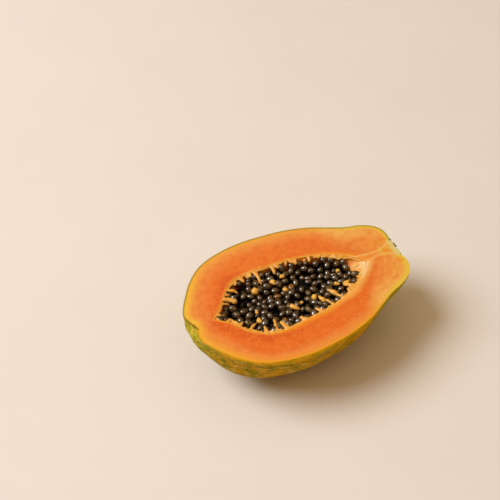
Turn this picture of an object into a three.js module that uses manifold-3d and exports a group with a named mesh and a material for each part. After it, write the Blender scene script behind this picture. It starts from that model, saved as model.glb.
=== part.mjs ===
// Papaya half: a ripe papaya cut lengthwise through both ends, lying on its back with the cut face up.
// It has two solids: the half fruit, with the seed cavity sunk into its cut face, and the heap of seeds
// that fills the cavity. Units are millimetres. X runs from the blossom end (-X) to the stem end (+X),
// Z is up, and the origin is on the surface it rests on, under the middle of its length and width.

import * as THREE from "three";
import { mergeVertices } from "three/addons/utils/BufferGeometryUtils.js";
import Module from "manifold-3d";

// ---- Driving dimensions ----
const LENGTH = 180; // blossom end to stem end
const WIDTH = 121; // across the cut face at the belly
const DEPTH_SHARE = 0.985; // depth of the half under the cut face, as a share of half its width
const REST_FLAT = 1.3; // what the fruit's own weight presses flat where it rests
const REST_X = -6; // where along X it rests, near the centre of gravity
const SAG_SHARE = 0.03; // how much deeper the underside is on the stem side of that place,
const SAG_REACH = 40; // and how far from it along X the most
const BOW = 2.1; // how far the two ends lean to the +Y side
const BOW_MIDDLE = 10; // where along X the bow turns
const CAVITY_SIDE = -1; // how far the cavity lies off the middle of the width

const HALF_WIDTH = WIDTH / 2;
const CUT_HEIGHT = HALF_WIDTH * DEPTH_SHARE - REST_FLAT;

// Five gentle lobes run along the fruit, faint round the belly and deeper at its two ends, as shares
// of the fruit's radius. Two crests lie to the left and right of the underside.
const LOBES = 5;
const BELLY_LOBE = 0.004;
const BLOSSOM_LOBE = 0.12;
const STEM_LOBE = 0.02;
const CAVITY_LOBE = 0.04;

// Half of the cut outline, from the blossom end's pit to the corky disc where the stem broke off:
// [share of the length from the middle, share of the half width].
const SKIN_PROFILE = [
  [-0.478, 0],
  [-0.487, 0.05],
  [-0.499, 0.13],
  [-0.498, 0.19],
  [-0.484, 0.289],
  [-0.452, 0.443],
  [-0.4, 0.653],
  [-0.325, 0.846],
  [-0.225, 0.957],
  [-0.11, 1],
  [0, 0.98],
  [0.1, 0.937],
  [0.2, 0.846],
  [0.29, 0.711],
  [0.35, 0.621],
  [0.42, 0.55],
  [0.47, 0.456],
  [0.495, 0.34],
  [0.5, 0.24],
  [0.496, 0.165],
  [0.491, 0.135],
  [0.498, 0.11],
  [0.497, 0.06],
  [0.494, 0],
];
const SKIN_SIDES = 56; // flat sides round the whole fruit

// Half of the cavity's outline in the cut face, in the same shares, pointed at both ends.
const CAVITY_PROFILE = [
  [-0.389, 0],
  [-0.361, 0.066],
  [-0.331, 0.157],
  [-0.294, 0.306],
  [-0.256, 0.413],
  [-0.206, 0.489],
  [-0.144, 0.512],
  [-0.044, 0.493],
  [0.056, 0.466],
  [0.139, 0.407],
  [0.206, 0.331],
  [0.267, 0.215],
  [0.311, 0.106],
  [0.342, 0],
];
const CAVITY_SIDES = 36;
const CAVITY_DEPTH_SHARE = 0.95;
const POCKET_DEPTH_SHARE = 0.45; // in the empty pocket at the cavity's stem end
const POCKET_FROM = 30; // where along X the cavity starts to rise towards the pocket

// The seeds, and the bed that they lie on: high along the walls and sunk in a valley down the middle.
const SEED_SIZE = [6, 5, 4.8]; // length, width and thickness of a middling seed
const SEED_SPREAD = 0.1; // how much seeds differ in size, as a share
const SEED_STEP = 5.7; // from seed to seed along a ring that follows the cavity wall
const RING_STEP = 5; // from ring to ring
const SEED_STRAY = 0.7; // how far a seed lies off its place in the ring
const SEED_CLEARANCE = 4.5; // least distance between the middles of two seeds
const SEED_TILT = 0.7; // steepest lean of a seed's long axis, in radians
const SEED_SEED = 4711; // start of the row of random numbers that places the seeds
const SEEDS_END = 53; // the seeds stop here along X, short of the pocket
const WALL_MARGIN = 1.9; // from a seed's middle to the cavity wall
const BED_AT_WALL = 2.3; // from the cut face down to the seeds' middles
const BED_IN_VALLEY = 6.2;
const BED_UNEVEN = 0.6; // how far a seed lies above or below the bed
const CORE_SINK = 1; // the solid core's top lies this far under the seeds' middles
const NODE_GAP = 0.35; // free space between the heap and the cavity wall

const FLESH = new THREE.MeshStandardMaterial({ color: 0xe97a35, roughness: 0.45 });
const SEEDS = new THREE.MeshStandardMaterial({ color: 0x1c1811, roughness: 0.25 });

const wasm = await Module();
wasm.setup();

// ---- Solids from three.js geometry, and back ----
function solidFrom(geometry) {
  const bare = geometry.clone();
  bare.deleteAttribute("normal");
  bare.deleteAttribute("uv");
  const merged = mergeVertices(bare, 1e-4);
  const made = new wasm.Mesh({
    numProp: 3,
    vertProperties: merged.attributes.position.array,
    triVerts: new Uint32Array(merged.index.array),
  });
  return new wasm.Manifold(made);
}

function geometryFrom(solid) {
  const made = solid.getMesh();
  const geometry = new THREE.BufferGeometry();
  geometry.setAttribute("position", new THREE.BufferAttribute(made.vertProperties, 3));
  geometry.setIndex(new THREE.BufferAttribute(made.triVerts, 1));
  geometry.computeVertexNormals();
  return geometry;
}

// A block over the whole plan of the fruit, between two heights.
function slab(low, high) {
  const geometry = new THREE.BoxGeometry(2 * LENGTH, 2 * LENGTH, high - low);
  geometry.translate(0, 0, (low + high) / 2);
  return solidFrom(geometry);
}

// The largest body of a solid, without the scraps that a join can leave.
function largestBody(solid) {
  return solid.decompose().sort((a, b) => b.volume() - a.volume())[0];
}

// ---- Outlines ----
const POINTS_PER_STRETCH = 2; // how finely the curve between two points of a profile is followed

function smoothOutline(profile) {
  const points = profile.map(
    ([along, across]) => new THREE.Vector2(along * LENGTH, across * HALF_WIDTH),
  );
  return new THREE.SplineCurve(points).getPoints(POINTS_PER_STRETCH * (points.length - 1));
}

// An outline moved inwards by a gap, still starting and ending on the axis.
function insetOutline(outline, gap) {
  const last = outline.length - 1;
  const moved = outline.map((point, i) => {
    const before = outline[Math.max(i - 1, 0)];
    const after = outline[Math.min(i + 1, last)];
    const along = new THREE.Vector2().subVectors(after, before).normalize();
    return new THREE.Vector2(point.x + along.y * gap, point.y - along.x * gap);
  });
  const kept = moved.filter((point) => point.y > 0.1);
  const [first, end] = [kept[0], kept[kept.length - 1]];
  return [new THREE.Vector2(first.x - first.y, 0), ...kept, new THREE.Vector2(end.x + end.y, 0)];
}

// ---- Shapes of the fruit ----
const BELLY_X = -0.11 * LENGTH;
const bowAt = (x) => (BOW * ((x - BOW_MIDDLE) ** 2 - (BELLY_X - BOW_MIDDLE) ** 2)) / (LENGTH / 2) ** 2;

// An outline turned round the X axis and shaped: it stands for the whole fruit or the whole cavity,
// with its axis in the cut face.
function roundBody(outline, { sides, sideY, lobeAt, depthShareAt }) {
  const profile = outline.map((point) => new THREE.Vector2(Math.max(point.y, 0), point.x));
  profile[0].x = 0;
  profile[profile.length - 1].x = 0;
  const geometry = new THREE.LatheGeometry(profile, sides);
  geometry.rotateZ(-Math.PI / 2);
  const place = geometry.attributes.position;
  for (let i = 0; i < place.count; i++) {
    const x = place.getX(i);
    const turn = Math.atan2(place.getY(i), -place.getZ(i));
    const lobed = 1 - lobeAt(x) * Math.cos(LOBES * turn);
    const y = place.getY(i) * lobed + sideY + bowAt(x);
    const z = place.getZ(i) * lobed * depthShareAt(x) + CUT_HEIGHT;
    place.setXYZ(i, x, y, z);
  }
  return solidFrom(geometry);
}

const skinLobeAt = (x) =>
  BELLY_LOBE + (x < 0 ? BLOSSOM_LOBE : STEM_LOBE) * ((2 * x) / LENGTH) ** 2;

// The underside is a little deeper on the stem side of the resting place and shallower on the other.
function skinDepthAt(x) {
  const off = THREE.MathUtils.clamp((x - REST_X) / (2 * SAG_REACH), -1, 1);
  return DEPTH_SHARE + SAG_SHARE * Math.sin(Math.PI * off);
}

const cavityOutline = smoothOutline(CAVITY_PROFILE);
const cavityEnd = cavityOutline[cavityOutline.length - 1].x;

function cavityDepthAt(x) {
  const rise = THREE.MathUtils.smoothstep(x, POCKET_FROM, cavityEnd);
  return THREE.MathUtils.lerp(CAVITY_DEPTH_SHARE, POCKET_DEPTH_SHARE, rise);
}

const cavityBody = (outline) =>
  roundBody(outline, {
    sides: CAVITY_SIDES,
    sideY: CAVITY_SIDE,
    lobeAt: () => CAVITY_LOBE,
    depthShareAt: cavityDepthAt,
  });

function halfFruit() {
  const whole = roundBody(smoothOutline(SKIN_PROFILE), {
    sides: SKIN_SIDES,
    sideY: 0,
    lobeAt: skinLobeAt,
    depthShareAt: skinDepthAt,
  });
  return whole
    .subtract(slab(CUT_HEIGHT, CUT_HEIGHT + LENGTH))
    .subtract(slab(-LENGTH, 0))
    .subtract(cavityBody(cavityOutline));
}

// ---- The heap of seeds ----

// Random numbers from 0 to 1, the same on every run.
function dice(start) {
  let state = start;
  return () => {
    state = (state * 16807) % 2147483647;
    return state / 2147483647;
  };
}

const around = (roll, spread) => (2 * roll() - 1) * spread;

// Half the cavity's width in the cut face, at a place along X.
function cavityHalfWidth(x) {
  const after = cavityOutline.findIndex((point) => point.x > x);
  if (after < 1) return 0;
  const a = cavityOutline[after - 1];
  const b = cavityOutline[after];
  return a.y + ((b.y - a.y) * (x - a.x)) / (b.x - a.x);
}

const sideOf = (x, y) => Math.abs(y - CAVITY_SIDE - bowAt(x));

// Height of the seeds' middles: the bed rises from the valley to the walls.
function bedHeight(x, y) {
  const share = Math.min(sideOf(x, y) / Math.max(cavityHalfWidth(x), 1), 1);
  return CUT_HEIGHT - THREE.MathUtils.lerp(BED_IN_VALLEY, BED_AT_WALL, share ** 2);
}

// Rings that follow the wall from the outside in, each seed a little off its place, and each kept only
// where the wall and the seeds before it leave room.
function seedPlaces() {
  const roll = dice(SEED_SEED);
  const places = [];
  const widest = Math.max(...cavityOutline.map((point) => point.y));
  for (let inset = WALL_MARGIN; inset < widest - WALL_MARGIN; inset += RING_STEP) {
    const ring = new THREE.SplineCurve(insetOutline(cavityOutline, inset));
    const count = Math.round(ring.getLength() / SEED_STEP);
    for (const side of [-1, 1]) {
      for (let i = 0; i <= count; i++) {
        const spot = ring.getPointAt(i / count);
        const x = spot.x + around(roll, SEED_STRAY);
        const y = side * spot.y + CAVITY_SIDE + bowAt(x) + around(roll, SEED_STRAY);
        const inside = x < SEEDS_END && sideOf(x, y) < cavityHalfWidth(x) - WALL_MARGIN / 2;
        const clear = places.every(([px, py]) => Math.hypot(px - x, py - y) > SEED_CLEARANCE);
        if (inside && clear) places.push([x, y]);
      }
    }
  }
  return places;
}

function seedSolid([x, y], index) {
  const roll = dice(SEED_SEED + 97 * (index + 1));
  const size = 1 + around(roll, SEED_SPREAD);
  const geometry = new THREE.IcosahedronGeometry(0.5, 0);
  geometry.scale(...SEED_SIZE.map((length) => length * size));
  geometry.rotateY(around(roll, SEED_TILT));
  geometry.rotateZ(around(roll, Math.PI));
  geometry.translate(x, y, bedHeight(x, y) + around(roll, BED_UNEVEN));
  return solidFrom(geometry);
}

// The free space over the core, as a block whose underside follows the bed.
function spaceOverCore() {
  const geometry = new THREE.BoxGeometry(LENGTH * 0.8, WIDTH * 0.56, 1, 12, 8, 1);
  const place = geometry.attributes.position;
  for (let i = 0; i < place.count; i++) {
    const x = place.getX(i);
    const y = CAVITY_SIDE + place.getY(i);
    const z = place.getZ(i) > 0 ? CUT_HEIGHT + HALF_WIDTH : bedHeight(x, y) - CORE_SINK;
    place.setXYZ(i, x, y, z);
  }
  return solidFrom(geometry);
}

function seedHeap() {
  const room = cavityBody(insetOutline(cavityOutline, NODE_GAP));
  const core = room.subtract(spaceOverCore());
  const joined = seedPlaces()
    .map(seedSolid)
    .reduce((all, seed) => all.add(seed), core);
  return largestBody(joined.intersect(room));
}

// ---- The part ----
function named(name, solid, material) {
  const mesh = new THREE.Mesh(geometryFrom(solid), material);
  mesh.name = name;
  return mesh;
}

const papayaHalf = new THREE.Group();
papayaHalf.add(named("flesh", halfFruit(), FLESH));
papayaHalf.add(named("seeds", seedHeap(), SEEDS));

export default papayaHalf;
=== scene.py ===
"""Papaya half: a ripe papaya cut lengthwise, lying on its rind, its cavity full of seeds."""

import functools
import math
import random
from collections import namedtuple
from types import SimpleNamespace

import bmesh
import bpy
from mathutils import Matrix, Vector, noise
from mathutils.geometry import interpolate_bezier
from mathutils.kdtree import KDTree


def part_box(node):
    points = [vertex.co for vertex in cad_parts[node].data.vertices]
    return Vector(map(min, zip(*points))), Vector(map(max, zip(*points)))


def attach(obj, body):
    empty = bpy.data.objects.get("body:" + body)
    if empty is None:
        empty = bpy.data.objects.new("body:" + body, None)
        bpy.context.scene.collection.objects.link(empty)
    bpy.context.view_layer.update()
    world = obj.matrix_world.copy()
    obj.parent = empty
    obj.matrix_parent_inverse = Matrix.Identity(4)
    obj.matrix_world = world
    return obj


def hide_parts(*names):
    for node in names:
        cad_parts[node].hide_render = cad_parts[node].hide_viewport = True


bl_info = {
    "name": "Papaya Half",
    "version": (1, 0, 0),
    "blender": (4, 5, 0),
    "location": "3D View > Sidebar > Papaya",
    "description": "Builds a halved papaya with its rind, cut flesh, seeds and fibres",
    "category": "Add Mesh",
}

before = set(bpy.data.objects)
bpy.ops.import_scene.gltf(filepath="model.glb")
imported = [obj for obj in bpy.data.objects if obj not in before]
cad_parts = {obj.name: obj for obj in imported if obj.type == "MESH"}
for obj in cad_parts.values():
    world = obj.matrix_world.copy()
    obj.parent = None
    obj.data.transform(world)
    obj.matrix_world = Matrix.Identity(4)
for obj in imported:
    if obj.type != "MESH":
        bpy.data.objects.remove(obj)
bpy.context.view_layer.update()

# ---- The fruit's sizes, in metres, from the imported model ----
MM = 0.001
FLESH_LOW, FLESH_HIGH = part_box("flesh")
CUT_Z = FLESH_HIGH.z
LENGTH = FLESH_HIGH.x - FLESH_LOW.x
HALF_WIDTH = (FLESH_HIGH.y - FLESH_LOW.y) / 2
DEPTH_SHARE = 0.985  # depth under the cut face, as a share of half the width
REST_X = -6 * MM  # where along X it rests
SAG_SHARE = 0.03  # how much deeper the underside gets towards the stem, and shallower the other way,
SAG_REACH = 40 * MM  # most of all this far from where it rests
BOW = 2.1 * MM  # about how far both ends lean to the +Y side
BOW_MIDDLE = 10 * MM  # where along X the bow turns
BELLY_X = -0.11 * LENGTH  # where the fruit is widest
LOBES = 5  # gentle ridges along the fruit; their heights are shares of its radius
BELLY_LOBE = 0.004
BLOSSOM_LOBE = 0.12
STEM_LOBE = 0.02
CAVITY_LOBE = 0.04
CAVITY_SIDE = -1 * MM  # how far the cavity lies off the middle of the width
CAVITY_DEPTH_SHARE = 0.95
POCKET_DEPTH_SHARE = 0.45  # in the empty pocket at the cavity's stem end
POCKET_FROM = 30 * MM  # where along X the cavity starts to rise towards the pocket

# Half of the cut outline, from the blossom end's pit to the stem scar, and half of the cavity's:
# [share of the length from the middle, share of the half width].
SKIN_PROFILE = [
    [-0.478, 0],
    [-0.487, 0.05],
    [-0.499, 0.13],
    [-0.498, 0.19],
    [-0.484, 0.289],
    [-0.452, 0.443],
    [-0.4, 0.653],
    [-0.325, 0.846],
    [-0.225, 0.957],
    [-0.11, 1],
    [0, 0.98],
    [0.1, 0.937],
    [0.2, 0.846],
    [0.29, 0.711],
    [0.35, 0.621],
    [0.42, 0.55],
    [0.47, 0.456],
    [0.495, 0.34],
    [0.5, 0.24],
    [0.496, 0.165],
    [0.491, 0.135],
    [0.498, 0.11],
    [0.497, 0.06],
    [0.494, 0],
]
CAVITY_PROFILE = [
    [-0.389, 0],
    [-0.361, 0.066],
    [-0.331, 0.157],
    [-0.294, 0.306],
    [-0.256, 0.413],
    [-0.206, 0.489],
    [-0.144, 0.512],
    [-0.044, 0.493],
    [0.056, 0.466],
    [0.139, 0.407],
    [0.206, 0.331],
    [0.267, 0.215],
    [0.311, 0.106],
    [0.342, 0],
]
SKIN_PER_STRETCH = 7  # points along each stretch of an outline
CAVITY_PER_STRETCH = 12
SKIN_STEPS = 110  # steps of the half turn that makes the rind,
CAVITY_STEPS = 44  # the lining
BED_STEPS = 32  # and the core of the heap
CUT_RINGS = 34  # rings of faces from the rim of the cut face to the cavity
LIP_DROP = 0.45 * MM  # how deep and how wide the cut face rounds over into the cavity
LIP_WIDTH = 1.4 * MM
FAR_AWAY = 1.0  # stands for a distance beyond every mark
MERGE = 0.005 * MM  # vertices nearer than this become one

# ---- The heap of seeds, with a narrow trench along it ----
SEEDS_END = 53 * MM  # the seeds stop here along X,
POCKET_CLEARANCE = 7 * MM  # and this much sooner on the far side, by the pocket
BED_AT_FAR_WALL = 4.2 * MM  # from the cut plane down to the middles of the topmost seeds
BED_AT_NEAR_WALL = 2.5 * MM
BED_IN_VALLEY = 6.2 * MM
BED_UNEVEN = 1.2 * MM
BED_LOWER_IN_CORNER = 2.4 * MM  # how much deeper they lie in the corner at the blossom end
TRENCH_DEPTH = 4.2 * MM
TRENCH_HALF_WIDTH = 3.6 * MM
TRENCH_FROM = -44 * MM
TRENCH_TO = 42 * MM
TRENCH_FADE = 8 * MM
HEAP_THICKNESS = 8.5 * MM
CORE_UNDER_SEEDS = 5.5 * MM  # from the middles of the topmost seeds down to the core
CORE_GAP = 0.3 * MM  # from the core to the cavity's wall
SETTLE_ROUNDS = 60
SEED_SPREAD = (0.84, 1.12)  # smallest and largest seed, as shares of the middling one
SEED_TAPER = 0.16  # how much narrower a seed's one end is than its other
ROLL_SEED = 4711  # start of every row of random numbers

# Seeds that did not ripen, and bits of pulp: (x, y, length, width) in millimetres and the turn in degrees.
PALE_SEEDS = [
    (-3.5, 17.5, 4, 3.2, 30),
    (-6, 6.5, 4, 3.4, 100),
    (-12.5, 15.5, 6, 3.2, 105),
    (-29, 14, 5.6, 5, 40),
    (19.5, 24, 4, 2.6, 80),
    (9, -11.5, 5, 3.8, 60),
    (13.5, -16, 7, 3, 115),
    (-2, -11.5, 3.2, 2.4, 20),
    (-9, -14, 8, 3, 132),
    (24, -14.5, 7.5, 3.8, 123),
    (31, -8, 4.5, 2.6, 150),
    (38.5, -10, 6, 3.2, 8),
    (39, 4.5, 3.5, 3, 0),
    (-37, -5, 2.6, 2, 40),
    (-39, -13, 5, 3.6, 90),
]

# Long fingers of pulp between the outer seeds, in millimetres: (x and y at the root, x and y at the tip,
# width at the root, width at the tip).
FINGERS = [
    (-51, 24, -41.5, 17.5, 2.4, 2.2),
    (-55, 15, -46.5, 9.5, 2.8, 4.6),
    (-57, 10.5, -53, 10, 2.4, 2),
    (-54, 19.5, -49.5, 17, 2.2, 1.8),
    (-45, 28, -40, 24.5, 2.2, 2),
    (-36, 32, -33, 24, 2.6, 2.2),
    (-30, 32, -28.5, 26.5, 2.4, 2.6),
    (-22, 31, -21.5, 17.5, 3.2, 2.4),
    (-7.5, 31, -8, 21.5, 2.8, 2.4),
    (-2, 32, -3.5, 25.5, 2, 2),
    (5, 31, 3, 25, 1.8, 1.6),
    (12.5, 29, 10.5, 22.5, 2, 2.6),
    (23, 27, 22, 20, 2.6, 3.4),
    (28.5, 26, 27.5, 21.5, 2.2, 1.8),
    (-53, -12.5, -50, -9, 3, 2),
    (-48, -18, -42, -14.5, 3, 2),
    (-39, -27, -38.5, -20.5, 3.4, 2),
    (-32.5, -28, -27.5, -15, 3, 2.2),
    (-24, -30, -25.5, -21.5, 4, 3),
    (-7, -32, -11, -25, 4, 3),
    (8, -29.5, 3, -22.5, 3.2, 2.4),
    (18, -27.5, 15, -18.5, 1.8, 1.8),
    (28.5, -25.5, 24, -17, 2.4, 2.4),
    (40, -19.5, 35.5, -17, 3.4, 3),
    (41, -17, 35, -11, 3, 3.6),
]

# Cream folds from the pocket's corner down to the seeds, in millimetres: (the bend, the end, half widths at
# the corner and at the end, height as a share of the width, shades at both).
POCKET_CORNER = (61, -0.9, -1.5)
POCKET_FOLDS = [
    ((54, 1.8, -3.4), (48, 2.2, -7.8), 1.5, 2, 0.8, (2.0, 1.2)),
    ((57.9, -6.3, -1.5), (46.9, -13.8, -2.2), 1.7, 2.6, 0.6, (2.0, 1.6)),
    ((55, -3, -5), (47, -4, -8.4), 1.2, 4.5, 0.5, (1.0, 0.2)),
]

# ---- The septa: short soft fingers along the whole edge ----
SEPTUM_STEP = 5.6 * MM  # about how far it is from root to root along the edge
SEPTUM_REACH = 3.4 * MM
SEPTUM_HALF_WIDTH = 1.1 * MM
SEPTUM_MISSING = 0.3  # the share of places where none grows
LEDGE_HALF_WIDTH = 1.9 * MM
FAR_LEDGE_END = 58 * MM  # where along X the ledge ends on the far side
FINGER_CLEARANCE = 3.6 * MM  # no septum grows this near to a long finger
WEB_SHARE = 0.3  # the share of near neighbours whose tips are joined
WEB_REACH = 9 * MM  # tips nearer than this are neighbours
FAR_WEBS_END = -15 * MM  # where along X they end on the far side
ROOT_SINK = 1.2  # millimetres; how far behind and below the edge a root starts
STRAND_RINGS = 10
STRAND_SIDES = 8
FUSED_VOXEL = 0.4 * MM
FUSED_SMOOTHING = 3

# ---- Marks in the cut face, as points (x, y) in millimetres ----
FAR_LINE = [(50, 8.6), (60.6, 5), (68.5, 4.4), (74, 4.2), (78, 5), (82, 6.2), (86, 7.8)]
NEAR_LINE = [(60, -3), (66.3, -1), (73, 0.2), (78, -1.1), (83, -3.3), (86.5, -4.8)]
BETWEEN_LINES = [(62, 2), (74, 2)]
STEM_CORE = [(87.8, 8), (87.6, 2.6), (87.4, -4.4)]
STEM_PATCH = [(77.5, 3.4), (84, 1.6)]
STEM_ISLAND = [(79.2, 2.2), (82.6, 1)]
STEM_BLUSH = [(84.4, -10.4), (85.6, -12)]
FAR_BLUSH = [(76, 12), (84.5, 12.7)]
POCKET_CREAM = [(60.6, -2.6), (56, -7.6), (50.5, -12.4)]
BLOSSOM_RIM = [(-89.1, 8.2), (-87.3, 3.1), (-85, -2.7), (-86, -5), (-87.4, -9.3), (-86.7, -15), (-82.6, -23)]
CREASE = [(-89.8, 12), *BLOSSOM_RIM[:3]]
SHOULDER_DEPTH = 4 * MM  # how far down the rind the blossom rim's dents reach
FAR_SIDE_STRENGTH = 0.3  # how strongly the far side is tinted
STEM_RADIUS = 7.5 * MM  # of the ring of corky flakes where the stem broke off
STEM_X = 88.6 * MM
STEM_FLAKES = 12
CORKY_BITS = [(89.2, 10.4), (89.8, 5.4), (89.8, 3.4), (89.2, -1.6), (89, -3.8), (88.8, 13)]

# ---- The camera, the lights and the floor ----
LENS_MM = 82.8
SENSOR_MM = 36
CAMERA_ELEVATION = math.radians(48.5)
CAMERA_AZIMUTH = math.radians(-26.8)
CAMERA_DISTANCE = 0.9063
AIM = Vector((-15.0 * MM, 50.1 * MM, CUT_Z))
LIGHT_DISTANCE = 3  # metres, as are the lights' widths and the floor
FLOOR_HALF_SIZE = 3.0
KEY_DIRECTION = Vector((-0.573, 0.305, 0.76))
KEY_WIDTH = 1.9
KEY_COLOUR = (0.95, 0.975, 1.0)
FILL_DIRECTION = Vector((0, 0, 1))
FILL_WIDTH = 6
FILL_COLOUR = (1.0, 0.68, 0.38)


def colour(code):
    """A linear colour with alpha from six hexadecimal digits of a display colour."""
    shares = [int(code[i : i + 2], 16) / 255 for i in (0, 2, 4)]
    linear = [s / 12.92 if s <= 0.04045 else ((s + 0.055) / 1.055) ** 2.4 for s in shares]
    return (*linear, 1.0)


# ---- Settings shown in the sidebar ----
def colour_property(name, code, description):
    """A colour setting whose first value is given as six hexadecimal digits."""
    return bpy.props.FloatVectorProperty(
        name=name, description=description, subtype="COLOR", size=4, min=0, max=1, default=colour(code)
    )


class PapayaFleshSettings(bpy.types.PropertyGroup):
    """Colours and relief of the flesh and the rind."""

    flesh: colour_property("Flesh", "EE7424", "Cut flesh in the middle of the wall")
    # Also painted shade lower down the lining and the fibres.
    deep_flesh: colour_property("Deep flesh", "DA5012", "Redder flesh near the cavity")
    outer_flesh: colour_property("Outer flesh", "F2983E", "Lighter flesh nearer to the rind")
    pale_flesh: colour_property("Pale flesh", "F8C768", "Yellow-orange flesh of the neck and under the rind")
    blossom_flesh: colour_property("Blossom flesh", "FAC944", "Yellow flesh by the rind at the blossom end")
    rim: colour_property("Rim", "F4A81E", "Yellow line where the rind is cut")
    edge: colour_property("Edge", "E8A322", "Outermost hair line of the cut rind")
    neck_edge: colour_property("Neck edge", "ECCB46", "Greenish yellow edge round the neck")
    blush: colour_property("Blush", "F28C42", "Soft pinkish orange between the outer flesh and the flesh")
    lining: colour_property("Lining", "F4961E", "Soft lining along the edge of the cavity")
    pulp: colour_property("Pulp", "F2C464", "Tips of the soft fingers")
    finger: colour_property("Fingers", "EFA63C", "Roots of the soft fingers between the seeds")
    # Also the painted highlight along the cavity's lip.
    line: colour_property("Lines", "F9C872", "Pale lines from the pocket to the stem")
    fold: colour_property("Fold", "FBDCA4", "Cream folds in the pocket by the stem")
    core: colour_property("Core", "E2D48C", "Greenish tissue under the stem scar")
    island: colour_property("Island", "E8921C", "Orange spot in the stem's tissue")
    stem_gold: colour_property("Stem gold", "F2B848", "Golden tissue between the pale lines")
    shoulder: colour_property("Shoulder", "F0871C", "Deep orange spots beside the stem scar")
    crease: colour_property("Crease", "50420A", "Fold of the rind at the blossom end")
    rind_gold: colour_property("Gold rind", "D89C0C", "Ripe part of the rind")
    rind_band: colour_property("Rind under the rim", "F0B804", "Golden band under the cut edge")
    rind_green: colour_property("Green rind", "868610", "Unripe part of the rind")
    rind_tip: colour_property("Blossom end", "B6B232", "Light rind round the blossom end")
    rind_speckle: colour_property("Speckle", "4A500A", "Dark freckles on the rind")
    # Dry streaks, laid on more strongly towards the blossom end as painted bounce light from the floor.
    rind_tan: colour_property("Worn rind", "E6B658", "Dry streaks on the rind")
    cork: colour_property("Cork", "A38A5C", "Scar that the stem left")
    relief: bpy.props.FloatProperty(
        name="Rind relief",
        description="How uneven the rind is",
        default=0.35 * MM,
        min=0,
        max=2 * MM,
        unit="LENGTH",
    )


class PapayaSeedSettings(bpy.types.PropertyGroup):
    """Number, size and colours of the seeds."""

    count: bpy.props.IntProperty(name="Seeds", description="Seeds in the heap", default=264, min=1, max=900)
    length: bpy.props.FloatProperty(
        name="Seed length", description="Length of a middling seed", default=7.2 * MM, min=MM, unit="LENGTH"
    )
    width: bpy.props.FloatProperty(
        name="Seed width", description="Width of a middling seed", default=5.8 * MM, min=MM, unit="LENGTH"
    )
    dark: colour_property("Seed", "140E08", "Ripe seed")
    # The olive sheen is laid on only where a seed lies high: partly painted light.
    olive: colour_property("Seed sheen", "806234", "Lighter ripe seed")
    pale: colour_property("Pale seed", "F5BE50", "Seed that did not ripen")
    amber: colour_property("Amber seed", "E2922A", "Seed that half ripened")
    bed: colour_property("Bed", "0C0704", "Wet pulp under the seeds")


class PapayaStageSettings(bpy.types.PropertyGroup):
    """Floor and light."""

    floor: colour_property("Floor", "F1EDE8", "Floor and backdrop")
    key: bpy.props.FloatProperty(
        name="Key light", description="Power of the large soft light", default=72, min=0, unit="POWER"
    )
    fill: bpy.props.FloatProperty(
        name="Fill light", description="Power of the warm light from above", default=52, min=0, unit="POWER"
    )
    ambient: bpy.props.FloatProperty(
        name="Ambient light", description="Strength of the light from all round", default=0.15, min=0
    )


class PapayaSettings(bpy.types.PropertyGroup):
    """All settings of the papaya half."""

    flesh: bpy.props.PointerProperty(type=PapayaFleshSettings)
    seeds: bpy.props.PointerProperty(type=PapayaSeedSettings)
    stage: bpy.props.PointerProperty(type=PapayaStageSettings)


# ---- Outlines and the shape of the fruit ----
def smoothstep(value, low, high):
    """0 below the low end, 1 above the high end, and smooth between them."""
    share = min(max((value - low) / (high - low), 0.0), 1.0)
    return share * share * (3 - 2 * share)


def smooth_outline(profile, per_stretch):
    """Points (x, radius) along the smooth curve through a profile."""
    points = [Vector((along * LENGTH, across * HALF_WIDTH)) for along, across in profile]
    last = len(points) - 1
    outline = []
    for i in range(last):
        start, end = points[i], points[i + 1]
        lead = start + (end - points[max(i - 1, 0)]) / 6
        trail = end - (points[min(i + 2, last)] - start) / 6
        outline += interpolate_bezier(start, lead, trail, end, per_stretch + 1)[:-1]
    return [Vector((p.x, max(p.y, 0.0))) for p in outline] + [points[last]]


def evenly(points, count):
    """As many points as asked for, at equal steps along a line of points."""
    reach = [0.0]
    for a, b in zip(points, points[1:]):
        reach.append(reach[-1] + (b - a).length)
    spaced = []
    at = 0
    for i in range(count):
        target = reach[-1] * i / (count - 1)
        while at < len(points) - 2 and reach[at + 1] < target:
            at += 1
        share = (target - reach[at]) / (reach[at + 1] - reach[at])
        spaced.append(points[at].lerp(points[at + 1], min(share, 1.0)))
    return spaced


SKIN_OUTLINE = smooth_outline(SKIN_PROFILE, SKIN_PER_STRETCH)
CAVITY_OUTLINE = evenly(smooth_outline(CAVITY_PROFILE, CAVITY_PER_STRETCH), len(SKIN_OUTLINE))


def bow(x):
    """How far the fruit's middle line lies to +Y there."""
    return BOW * ((x - BOW_MIDDLE) ** 2 - (BELLY_X - BOW_MIDDLE) ** 2) / (LENGTH / 2) ** 2


def skin_lobe(x):
    """How high the lobes stand there, as a share of the radius."""
    return BELLY_LOBE + (BLOSSOM_LOBE if x < 0 else STEM_LOBE) * (2 * x / LENGTH) ** 2


def skin_depth(x):
    """Depth of the fruit there, as a share of its half width."""
    off = min(max((x - REST_X) / (2 * SAG_REACH), -1.0), 1.0)
    return DEPTH_SHARE + SAG_SHARE * math.sin(math.pi * off)


def cavity_depth(x):
    """Depth of the cavity there, as a share of its half width."""
    rise = smoothstep(x, POCKET_FROM, CAVITY_OUTLINE[-1].x)
    return CAVITY_DEPTH_SHARE + (POCKET_DEPTH_SHARE - CAVITY_DEPTH_SHARE) * rise


def cavity_half_width(x):
    """Half the cavity's width in the cut face, at a place along X."""
    for a, b in zip(CAVITY_OUTLINE, CAVITY_OUTLINE[1:]):
        if a.x <= x < b.x:
            return a.y + (b.y - a.y) * (x - a.x) / (b.x - a.x)
    return 0.0


def cavity_middle(x):
    """The Y of the cavity's middle line there."""
    return CAVITY_SIDE + bow(x)


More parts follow.
